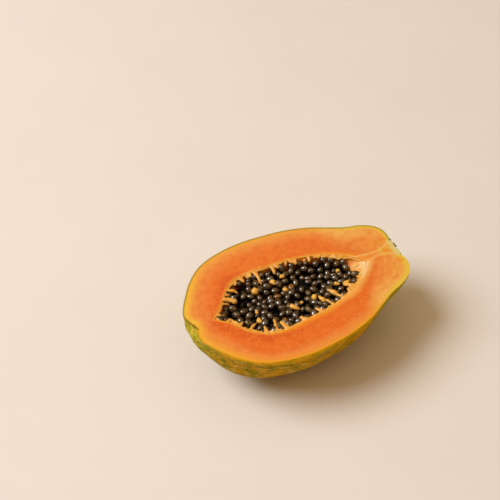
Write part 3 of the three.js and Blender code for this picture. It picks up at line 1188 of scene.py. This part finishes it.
def cork_material(colours):
    """Dry, flaky remains of the stem."""
    material, tree, shader = new_material("cork", Roughness=0.8)
    place = object_place(tree)
    cloud = patches(tree, place, 700.0, 0.4, 0.6, detail=5.0)
    dark = maths(tree, "MAXIMUM", cloud, attribute(tree, "shade"))
    base = mix(tree, dark, colours.cork, colours.rind_speckle)
    feed(tree, shader, base, grain_height(tree, place, 900.0, 0.6), 0.3 * MM, 0.8)
    return material


def floor_material(settings):
    """Matt card with a faint tooth."""
    material, tree, shader = new_material("floor", Roughness=0.9, Specular_IOR_Level=0.15)
    place = object_place(tree)
    cloud = patches(tree, place, 8.0, 0.2, 0.8)
    darker = tuple(0.97 * c for c in settings.floor[:3]) + (1.0,)
    base = mix(tree, cloud, settings.floor, darker)
    feed(tree, shader, base, grain_height(tree, place, 900.0, 0.5), 0.1 * MM, 0.3)
    return material


# ---- The half fruit ----
RIND, CUT, LINING = range(3)


def add_cut_face(bm, rim, edge):
    """The flat ring between the rim and the cavity's edge, made ring by ring from the rim inwards."""
    spot = bm.verts.layers.int["spot"]
    share_layer = bm.verts.layers.float["share"]
    ring = [bm.verts.new(place) for place in rim]
    edges = [bm.edges.new(pair) for pair in zip(ring, ring[1:] + ring[:1])]
    for i, v in enumerate(ring):
        v[spot] = i
    for step in range(1, CUT_RINGS + 1):
        even = step / CUT_RINGS
        share = 0.35 * even + 0.65 * (1 - math.cos(math.pi * even)) / 2
        ring, edges = next_ring(bm, edges)
        for v in ring:
            v.co = rim[v[spot]].lerp(edge[v[spot]], share)
            v[share_layer] = share


def set_grain(bm, faces, rim):
    """A UV map on the cut face: metres along the rim, and the share of the way to the cavity."""
    grain = bm.loops.layers.uv.new("grain")
    spot = bm.verts.layers.int["spot"]
    share = bm.verts.layers.float["share"]
    reach = [0.0]
    for a, b in zip(rim, rim[1:] + rim[:1]):
        reach.append(reach[-1] + (b - a).length)
    last = len(rim) - 1
    for face in faces:
        wraps = any(v[spot] == last for v in face.verts)
        for corner in face.loops:
            i = corner.vert[spot]
            along = reach[-1] if wraps and i == 0 else reach[i]
            corner[grain].uv = (along, corner.vert[share])


def add_rind(bm, relief):
    """The rind, pressed flat where the fruit rests; gives its vertices."""
    verts = half_shell(bm, SKIN_OUTLINE, SKIN_STEPS)
    for v in verts:
        v.co = lobed(v.co, skin_lobe(v.co.x), skin_depth(v.co.x), 0.0)
        outward = Vector((v.co.x * 0.3, v.co.y, v.co.z)).normalized()
        v.co += outward * skin_relief(v.co, relief)
        v.co.x += shoulder(v.co)
        v.co.z = max(v.co.z, -CUT_Z)
    return verts


def add_lining(bm):
    """The cavity's wall, its top as deep as the lip of the cut face; gives its vertices."""
    verts = half_shell(bm, CAVITY_OUTLINE, CAVITY_STEPS)
    for v in verts:
        side = 1 if v.co.y >= 0 else -1
        v.co = lobed(v.co, CAVITY_LOBE, cavity_depth(v.co.x), CAVITY_SIDE)
        v.co.y -= side * edge_wobble(v.co.x, side) * smoothstep(v.co.z, -6 * MM, 0.0)
        if abs(v.co.z) < 0.01 * MM:
            v.co.z = -LIP_DROP
    return verts


def cut_rim_and_edge():
    """The outer rim and the cavity's edge in the cut plane, as closed lines with as many points."""
    rim = loop_of(SKIN_OUTLINE, 0.0)
    for place in rim:
        place.x += shoulder(place)
    edge = loop_of(CAVITY_OUTLINE, CAVITY_SIDE)
    for i, place in enumerate(edge):
        side = 1 if i < len(CAVITY_OUTLINE) else -1
        place.y -= side * edge_wobble(place.x, side)
    return rim, edge


def build_flesh(colours):
    """The half fruit: rind, lining and cut face, each with its own finish."""
    bm = bmesh.new()
    bm.verts.layers.int.new("spot")
    bm.verts.layers.float.new("share")
    from_rind = bm.verts.layers.float.new("from_rind")
    from_cavity = bm.verts.layers.float.new("from_cavity")

    for v in add_rind(bm, colours.relief):
        v[from_cavity] = FAR_AWAY
    rind_faces = set(bm.faces)
    for v in add_lining(bm):
        v[from_rind] = FAR_AWAY
    shells = set(bm.faces)
    rim, edge = cut_rim_and_edge()
    add_cut_face(bm, rim, edge)
    cut_faces = set(bm.faces) - shells
    for kind, faces in ((RIND, rind_faces), (LINING, shells - rind_faces), (CUT, cut_faces)):
        for face in faces:
            face.material_index = kind

    rim_tree = nearest_tree(dense(rim))
    edge_tree = nearest_tree(dense(edge))
    for v in {v for face in cut_faces for v in face.verts}:
        v[from_rind] = rim_tree.find(v.co)[2]
        v[from_cavity] = edge_tree.find(v.co)[2]
        lip = 1 - smoothstep(v[from_cavity], 0.0, LIP_WIDTH)
        v.co.z -= LIP_DROP * lip**2
    set_grain(bm, cut_faces, rim)
    bmesh.ops.remove_doubles(bm, verts=bm.verts, dist=MERGE)
    for line in bm.edges:
        kinds = {face.material_index for face in line.link_faces}
        line.smooth = kinds != {RIND, CUT}
    materials = [rind_material(colours), flesh_material(colours), lining_material(colours)]
    return finish_mesh(bm, "papaya_flesh", materials, ["flesh"])


# ---- The seeds ----
def trench(x, y):
    """How far the heap sinks into the trench that runs along it, on the far side of its middle."""
    middle = cavity_middle(x) + 6 * MM + 7.5 * MM * math.exp(-(((x - 10 * MM) / (22 * MM)) ** 2))
    start = smoothstep(x, TRENCH_FROM, TRENCH_FROM + TRENCH_FADE)
    end = 1 - smoothstep(x, TRENCH_TO - TRENCH_FADE, TRENCH_TO)
    return TRENCH_DEPTH * (start * end) * math.exp(-(((y - middle) / TRENCH_HALF_WIDTH) ** 2))


def bed_depth(x, y):
    """From the cut plane down to the middles of the topmost seeds."""
    off = (y - cavity_middle(x)) / max(cavity_half_width(x), MM)
    share = min(abs(off), 1.0)
    at_wall = BED_AT_NEAR_WALL + (BED_AT_FAR_WALL - BED_AT_NEAR_WALL) * smoothstep(off, -0.4, 0.8)
    at_wall += BED_LOWER_IN_CORNER * smoothstep(-x, 50 * MM, 60 * MM)
    smooth = BED_IN_VALLEY + (at_wall - BED_IN_VALLEY) * share**2
    uneven = noise.noise(Vector((x, y, 0.0)) / (6.5 * MM)) * BED_UNEVEN * (1 - share**4)
    return max(smooth + trench(x, y) + uneven, at_wall)


def on_heap(x, y, above):
    """A place given in millimetres, so far above the middles of the topmost seeds there."""
    return Vector((x * MM, y * MM, above * MM - bed_depth(x * MM, y * MM)))


def kept_in(place, radius):
    """The place moved into the heap's room: a ball there stays off the walls and under the cut plane."""
    end = SEEDS_END - POCKET_CLEARANCE * smoothstep(place.y, -10 * MM, -3 * MM)
    x = min(max(place.x, CAVITY_OUTLINE[0].x + 5 * MM), end)
    top = -bed_depth(x, place.y)
    z = min(max(place.z, top - HEAP_THICKNESS), top)
    across = Vector((place.y - cavity_middle(x), z / cavity_depth(x)))
    near = smoothstep(cavity_middle(x) - place.y, 0.0, 8 * MM)
    room = max(cavity_half_width(x) - radius * (0.8 + 0.35 * near), 0.2 * MM)
    if across.length > room:
        across = across.normalized() * room
        z = min(across.y * cavity_depth(x), -radius)
    return Vector((x, cavity_middle(x) + across.x, z))


def sunk_root(root, inward):
    """Where a strand starts, behind and below its root on the cavity's edge."""
    return root - inward * ROOT_SINK * MM + Vector((0, 0, -ROOT_SINK * MM))


def finger_path(finger):
    """Points along a finger, from just inside the cavity's wall to its tip on the heap."""
    root = nearest_on(EDGE_LOOP, at_mm(*finger[:2]))
    tip = at_mm(*finger[2:4])
    inward = (tip - root).normalized()
    tip.z = 1.6 * MM - bed_depth(tip.x, tip.y)
    bend = root + inward * (tip - root).length * 0.5 + Vector((-inward.y, inward.x, 0.0)) * 0.8 * MM
    bend.z = -0.8 * MM
    return curve(sunk_root(root, inward), bend, tip)


@functools.cache
def settle(count, radius):
    """Balls pushed apart until they lie against each other in the heap's room.

    Gives (place, radius) for each ball, one for each seed; the pale seeds and fingers keep their places.
    """
    roll = random.Random(ROLL_SEED)
    balls = []
    for x, y, length, width, _ in PALE_SEEDS:
        balls.append([on_heap(x, y, 1.0), (length + width) * MM / 5])
    for finger in FINGERS:
        path = finger_path(finger)
        for share in (0.4, 0.7, 1.0):
            balls.append([path[round(share * (len(path) - 1))], finger[5] * MM * 0.45])
    fixed = len(balls)
    while len(balls) < count + fixed:
        x = roll.uniform(CAVITY_OUTLINE[0].x, SEEDS_END)
        width = cavity_half_width(x)
        if roll.random() * HALF_WIDTH * 0.52 > width:
            continue
        y = cavity_middle(x) + roll.uniform(-width, width)
        size = radius * roll.uniform(*SEED_SPREAD)
        place = Vector((x, y, -bed_depth(x, y) - roll.uniform(0, HEAP_THICKNESS)))
        balls.append([kept_in(place, size), size])
    for _ in range(SETTLE_ROUNDS):
        tree = nearest_tree([place for place, _ in balls])
        for i in range(fixed, len(balls)):
            place, size = balls[i]
            move = Vector((0, 0, 0.1 * MM))
            for other, j, distance in tree.find_range(place, 2.3 * radius):
                gap = size + balls[j][1] - distance
                if j != i and gap > 0:
                    away = (place - other).normalized() if distance > 0 else Vector((1, 0, 0))
                    move += away * gap * 0.45
            balls[i][0] = kept_in(place + move, size)
    return balls[fixed:]


def random_turn(roll, lie):
    """A turn with the long axis anywhere, or nearer to level for a larger lie."""
    axis = Vector((roll.gauss(0, 1), roll.gauss(0, 1), roll.gauss(0, 1) / lie)).normalized()
    return axis.to_track_quat("Z", "Y").to_matrix() @ Matrix.Rotation(roll.uniform(0, 2 * math.pi), 3, "Z")


def seeds_mesh(seeds):
    """Egg-shaped seeds, each given as (place, turn, length, width, thickness, taper, shade).

    The layer "sunk" says how far each vertex lies below the top of the heap, which the seed material uses for
    painted shade, and "local" where on its seed.
    """
    bm = bmesh.new()
    bmesh.ops.create_uvsphere(bm, u_segments=12, v_segments=8, radius=0.5)
    copy = repeat_shape(bm, len(seeds))
    shade_layer = bm.verts.layers.float.new("shade")
    sunk = bm.verts.layers.float.new("sunk")
    local = bm.verts.layers.float_vector.new("local")
    tops = [-bed_depth(place.x, place.y) for place, *_ in seeds]
    for v in bm.verts:
        place, turn, length, width, thickness, taper, shade = seeds[v[copy]]
        narrow = 1 - taper * (v.co.z + 0.15)
        v[local] = v.co + Vector((shade * 31, 0, 0))
        v.co = place + turn @ Vector((v.co.x * width * narrow, v.co.y * thickness * narrow, v.co.z * length))
        v[shade_layer] = shade
        v[sunk] = tops[v[copy]] - v.co.z
    return bm


def build_seeds(settings):
    """The dark seeds, one for each settled ball and a little flatter."""
    roll = random.Random(ROLL_SEED + 1)
    seeds = []
    for place, radius in settle(settings.count, settings.width / 2):
        width = 2 * radius * 0.98
        length = width * settings.length / settings.width * roll.uniform(0.92, 1.08)
        thickness = width * roll.uniform(0.86, 1.0)
        seeds.append((place, random_turn(roll, 1.6), length, width, thickness, SEED_TAPER, roll.random()))
    return finish_mesh(seeds_mesh(seeds), "seeds_dark", [seed_material(settings)], ["seeds"])


def build_pale_seeds(settings):
    """The unripe seeds and bits of pulp, lumpy, on top of the dark seeds."""
    roll = random.Random(ROLL_SEED + 2)
    seeds = []
    for x, y, length, width, angle in PALE_SEEDS:
        place = on_heap(x, y, 1.2)
        way = Vector((math.cos(math.radians(angle)), math.sin(math.radians(angle)), roll.uniform(-0.2, 0.2)))
        turn = way.to_track_quat("Z", "Y").to_matrix()
        size = (length * 1.1 * MM, width * 1.2 * MM, width * MM)
        seeds.append((place, turn, *size, roll.uniform(-0.5, 0.5), roll.random()))
    bm = seeds_mesh(seeds)
    roughen(bm, 1.8 * MM, 0.9 * MM)
    return finish_mesh(bm, "seeds_pale", [pale_seed_material(settings)])


def build_bed(settings):
    """The core of the heap: the cavity's room up to just under the topmost seeds."""
    bm = bmesh.new()
    inner = [Vector((p.x, max(p.y - CORE_GAP, 0.0))) for p in CAVITY_OUTLINE if p.x < SEEDS_END + 2 * MM]
    inner[0].y = 0.0
    inner.append(Vector((inner[-1].x + 0.5 * MM, 0.0)))
    for v in half_shell(bm, inner, BED_STEPS):
        v.co = lobed(v.co, CAVITY_LOBE, cavity_depth(v.co.x), CAVITY_SIDE)
        v.co.z = min(v.co.z, -bed_depth(v.co.x, v.co.y) - CORE_UNDER_SEEDS)
    bmesh.ops.remove_doubles(bm, verts=bm.verts, dist=MERGE)
    bmesh.ops.holes_fill(bm, edges=[e for e in bm.edges if e.is_boundary])
    bmesh.ops.triangulate(bm, faces=[f for f in bm.faces if len(f.verts) > 4])
    return finish_mesh(bm, "seed_bed", [bed_material(settings)])


# ---- Fibres along the cavity's edge ----
def edge_walk(step, roll):
    """Places round the cavity's edge with the way inwards, at uneven steps."""
    walked = 0.0
    wanted = step
    found = []
    for a, b in zip(EDGE_LOOP, EDGE_LOOP[1:] + EDGE_LOOP[:1]):
        walked += (b - a).length
        if walked >= wanted:
            tangent = (b - a).normalized()
            found.append((b, Vector((tangent.y, -tangent.x, 0.0))))
            wanted = walked + step * roll.uniform(0.75, 1.3)
    return found


def clearest(start, inward, reach, tree):
    """The way, of several near to inward, whose end lies farthest from any seed."""
    ways = [Matrix.Rotation(math.radians(angle), 3, "Z") @ inward for angle in range(-48, 49, 12)]
    return max(ways, key=lambda way: min(tree.find(start + way * reach * s)[2] for s in (0.5, 0.75, 1.0)))


def ledge_share(root):
    """Width of the far side's ledge, as a share of the near side's: widest towards the stem."""
    belly = 0.3 * smoothstep(-root.x, -5 * MM, 15 * MM)
    blossom = 0.25 * smoothstep(-root.x, 38 * MM, 48 * MM)
    stem = 0.6 * smoothstep(root.x, 20 * MM, 32 * MM)
    return 0.3 + belly - blossom + stem


def by_finger(root):
    """Whether a long finger grows near to that root."""
    return min((root - at_mm(x, y)).length for x, y, *_ in FINGERS) < FINGER_CLEARANCE


def edge_strands(roll, tree):
    """Short fingers round the cavity's edge, a low ledge between their roots, webs between some tips."""
    strands = []
    walk = edge_walk(SEPTUM_STEP, roll)
    last_end = None
    for (root, inward), (following, _) in zip(walk, walk[1:] + walk[:1]):
        near = root.y < cavity_middle(root.x)
        past_seeds = root.x > SEEDS_END - 3 * MM
        if root.x > FAR_LEDGE_END or near and past_seeds:
            continue
        ledge = LEDGE_HALF_WIDTH * roll.uniform(0.8, 1.25) * (1.0 if near else ledge_share(root))
        middle = root.lerp(following, 0.5) + inward * ledge * roll.uniform(0.0, 0.9)
        down = Vector((0, 0, -ledge))
        path = curve(root + down, middle + down * 1.2, following + down)
        strands.append(Strand(path, ledge, ledge, 0.75, (0.2, 0.6)))
        if past_seeds or by_finger(root) or roll.random() < SEPTUM_MISSING:
            continue
        reach = SEPTUM_REACH * roll.uniform(0.7, 1.6)
        way = clearest(root, inward, reach, tree)
        end = root + way * reach + Vector((0, 0, -roll.uniform(1.4, 2.6) * MM))
        bend = root + inward * reach * 0.5 + Vector((0, 0, -0.9 * MM))
        width = SEPTUM_HALF_WIDTH * roll.uniform(0.7, 1.5) * (1.0 if near else 0.75)
        path = curve(sunk_root(root, inward), bend, end)
        strands.append(Strand(path, width * 2.2, width, 0.8, (0.0, 1.0)))
        webbed = near or root.x < FAR_WEBS_END
        neighbours = last_end is not None and (end - last_end).length < WEB_REACH
        if webbed and neighbours and roll.random() < WEB_SHARE:
            sag = (end + last_end) / 2 + (root - end) * 0.3 + Vector((0, 0, -0.8 * MM))
            strands.append(Strand(curve(last_end, sag, end), width, width * 0.8, 0.8, (0.8, 0.5)))
        last_end = end
    return strands


def build_fibres(settings):
    """The ledge, septa, long fingers and pocket folds, fused into one skin just under the cut plane."""
    roll = random.Random(ROLL_SEED + 3)
    balls = settle(settings.seeds.count, settings.seeds.width / 2)
    top = [Vector((p.x, p.y, 0.0)) for p, _ in balls if p.z > -bed_depth(p.x, p.y) - 2.5 * MM]
    strands = edge_strands(roll, nearest_tree(top))
    for finger in FINGERS:
        root, tip = (width / 2 * MM for width in finger[4:])
        strands.append(Strand(finger_path(finger), root * 1.2, tip, 0.8, (0.1, 1.0)))
    for bend, end, root, tip, tall, shades in POCKET_FOLDS:
        path = curve(at_mm(*POCKET_CORNER), at_mm(*bend), at_mm(*end))
        strands.append(Strand(path, root * MM, tip * MM, tall, shades))
    bm = strands_mesh(strands)
    roughen(bm, 3 * MM, 0.5 * MM)
    for v in bm.verts:
        v.co.z = sunk_below(v.co.z, -0.1 * MM, 0.4 * MM)
    return finish_mesh(fused(bm), "fibres", [fibre_material(settings.flesh)])


def build_stem_scar(colours):
    """Corky flakes round the foot of the stem, in the half that is left."""
    roll = random.Random(ROLL_SEED + 4)
    strands = []
    for i in range(STEM_FLAKES + 1):
        angle = math.pi * (i + roll.uniform(-0.25, 0.25)) / STEM_FLAKES
        angle = min(max(angle, 0.06), math.pi - 0.06)
        out = Vector((0.0, math.cos(angle), -math.sin(angle)))
        middle = Vector((STEM_X, bow(STEM_X), 0.0)) + out * STEM_RADIUS * roll.uniform(0.95, 1.1)
        along = out * roll.uniform(0.7, 1.3) * MM
        rise = Vector((roll.uniform(0.4, 1.0) * MM, 0, 0))
        path = curve(middle - along, middle + rise, middle + along)
        strands.append(Strand(path, 0.8 * MM, roll.uniform(0.4, 0.7) * MM, 0.6, (0.0, 0.3)))
    for x, y in CORKY_BITS:
        middle = at_mm(x, y, -0.9)
        along = Vector((roll.uniform(-0.4, 0.4) * MM, 1.2 * MM, 0))
        path = curve(middle - along, middle + Vector((0.5 * MM, 0, 0)), middle + along)
        strands.append(Strand(path, 0.8 * MM, roll.uniform(0.6, 1.0) * MM, 0.9, (1.0, 1.0)))
    bm = strands_mesh(strands)
    roughen(bm, 1.5 * MM, 0.3 * MM)
    for v in bm.verts:
        v.co.z = min(v.co.z, -0.1 * MM)
    return finish_mesh(bm, "stem_scar", [cork_material(colours)])


# ---- Stage ----
def add_aimed(name, data, target, back, distance):
    """A lamp or a camera that looks at a target from a distance along the way back."""
    made = add_object(name, data)
    made.location = target + back * distance
    made.rotation_euler = back.to_track_quat("Z", "Y").to_euler()
    return made


def add_camera():
    """The camera, looking down on the cut face from the near side."""
    across = math.cos(CAMERA_ELEVATION)
    right = math.sin(CAMERA_AZIMUTH) * across
    forward = -math.cos(CAMERA_AZIMUTH) * across
    back = Vector((right, forward, math.sin(CAMERA_ELEVATION)))
    data = bpy.data.cameras.new("camera")
    data.lens = LENS_MM
    data.sensor_width = SENSOR_MM
    bpy.context.scene.camera = add_aimed("camera", data, AIM, back, CAMERA_DISTANCE)


def add_light(name, direction, width, power, tint):
    """A round soft light at the lights' distance, shining at the fruit."""
    data = bpy.data.lights.new(name, "AREA")
    data.shape = "DISK"
    data.size = width
    data.energy = power
    data.color = tint
    add_aimed(name, data, Vector((0, 0, CUT_Z)), direction.normalized(), LIGHT_DISTANCE)


def build_stage(settings):
    """The floor, the two lights, the light from all round and the camera."""
    bm = bmesh.new()
    bmesh.ops.create_grid(bm, x_segments=8, y_segments=8, size=FLOOR_HALF_SIZE)
    floor = object_of(bm, "floor")
    floor.data.materials.append(floor_material(settings))
    add_light("key", KEY_DIRECTION, KEY_WIDTH, settings.key, KEY_COLOUR)
    add_light("fill", FILL_DIRECTION, FILL_WIDTH, settings.fill, FILL_COLOUR)
    world = bpy.data.worlds.new("studio")
    world.use_nodes = True
    background = world.node_tree.nodes["Background"]
    background.inputs["Color"].default_value = (*FILL_COLOUR, 1.0)
    background.inputs["Strength"].default_value = settings.ambient
    bpy.context.scene.world = world
    bpy.context.scene.view_settings.view_transform = "Standard"
    add_camera()


# ---- Operators ----
class PAPAYA_OT_flesh(bpy.types.Operator):
    """Adds the half fruit: rind, cut flesh, the cavity's lining and the stem scar"""

    bl_idname = "papaya.flesh"
    bl_label = "Flesh and rind"

    def execute(self, context):
        colours = context.scene.papaya_half.flesh
        build_flesh(colours)
        build_stem_scar(colours)
        return {"FINISHED"}


class PAPAYA_OT_seeds(bpy.types.Operator):
    """Adds the heap of seeds and the bed that they lie on"""

    bl_idname = "papaya.seeds"
    bl_label = "Seeds"

    def execute(self, context):
        settings = context.scene.papaya_half.seeds
        build_bed(settings)
        build_seeds(settings)
        build_pale_seeds(settings)
        return {"FINISHED"}


class PAPAYA_OT_fibres(bpy.types.Operator):
    """Adds the soft fingers along the cavity's edge"""

    bl_idname = "papaya.fibres"
    bl_label = "Fibres"

    def execute(self, context):
        build_fibres(context.scene.papaya_half)
        return {"FINISHED"}


class PAPAYA_OT_stage(bpy.types.Operator):
    """Adds the floor, the light and the camera"""

    bl_idname = "papaya.stage"
    bl_label = "Stage"

    def execute(self, context):
        build_stage(context.scene.papaya_half.stage)
        return {"FINISHED"}


OPERATORS = (PAPAYA_OT_flesh, PAPAYA_OT_seeds, PAPAYA_OT_fibres, PAPAYA_OT_stage)


class PAPAYA_PT_panel(bpy.types.Panel):
    """Lists the pieces of the papaya half."""

    bl_label = "Papaya Half"
    bl_idname = "PAPAYA_PT_panel"
    bl_space_type = "VIEW_3D"
    bl_region_type = "UI"
    bl_category = "Papaya"

    def draw(self, context):
        """Shows a button for each operator and every setting."""
        for operator in OPERATORS:
            self.layout.operator(operator.bl_idname)
        settings = context.scene.papaya_half
        for group in (settings.flesh, settings.seeds, settings.stage):
            for name in type(group).__annotations__:
                self.layout.prop(group, name)


CLASSES = (
    PapayaFleshSettings,
    PapayaSeedSettings,
    PapayaStageSettings,
    PapayaSettings,
    *OPERATORS,
    PAPAYA_PT_panel,
)


def register():
    """Makes the classes and the scene's settings known."""
    for kind in CLASSES:
        bpy.utils.register_class(kind)
    bpy.types.Scene.papaya_half = bpy.props.PointerProperty(type=PapayaSettings)


def unregister():
    """Takes the settings and the classes away again."""
    del bpy.types.Scene.papaya_half
    for kind in reversed(CLASSES):
        bpy.utils.unregister_class(kind)


def main():
    """Adds all pieces and the stage."""
    register()
    bpy.ops.papaya.flesh()
    bpy.ops.papaya.seeds()
    bpy.ops.papaya.fibres()
    bpy.ops.papaya.stage()


if __name__ == "__main__":
    main()
